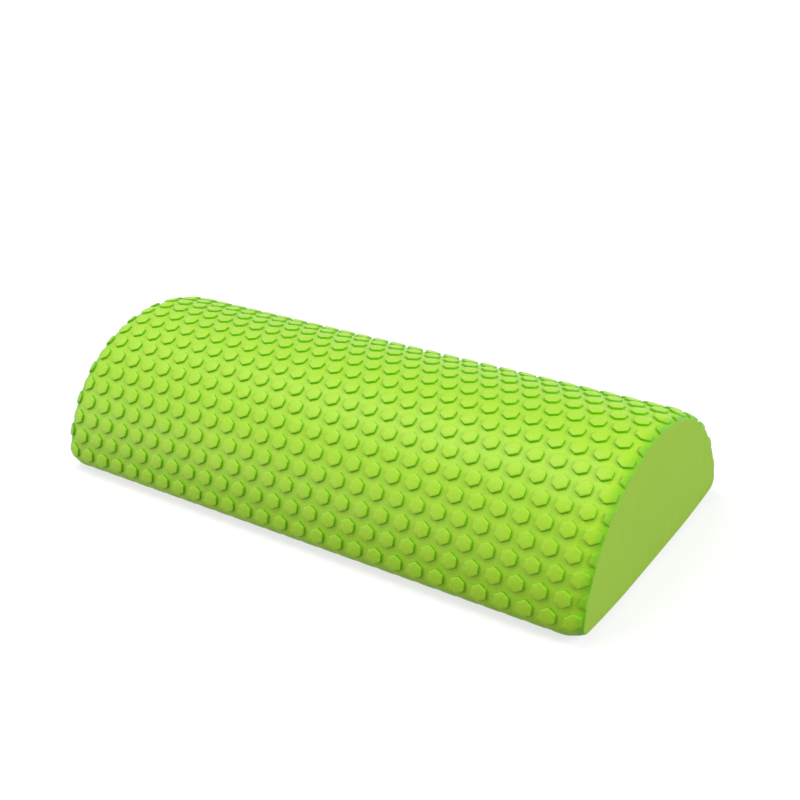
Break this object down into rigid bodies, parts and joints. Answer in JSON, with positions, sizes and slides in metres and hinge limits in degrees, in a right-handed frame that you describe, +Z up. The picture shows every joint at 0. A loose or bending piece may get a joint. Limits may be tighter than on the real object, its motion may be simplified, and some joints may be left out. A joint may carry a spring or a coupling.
{
  "type": "half round foam roller",
  "caption": "Half round foam roller with a flat underside, a dome covered in raised hexagonal studs, rounded long edges and plain sawn ends.",
  "frame": {"origin": "on the surface the roller lies on, under the middle of its flat underside", "axes": "+X along the roller's length, +Z up through the crest of the dome, +Y across the roller"},
  "size_m": [0.3, 0.1473, 0.069],
  "materials": {
    "studded_skin": "matt moulded EVA foam skin, lime green, hexagonal studs",
    "cut_foam": "sawn closed-cell EVA foam, lime green, dull and finely pored",
    "smooth_skin": "matt smooth EVA foam skin, lime green"
  },
  "bodies": {
    "root": {"foam_core": "cut_foam", "textured_cover": "studded_skin", "base_sheet": "smooth_skin"}
  },
  "joints": []
}
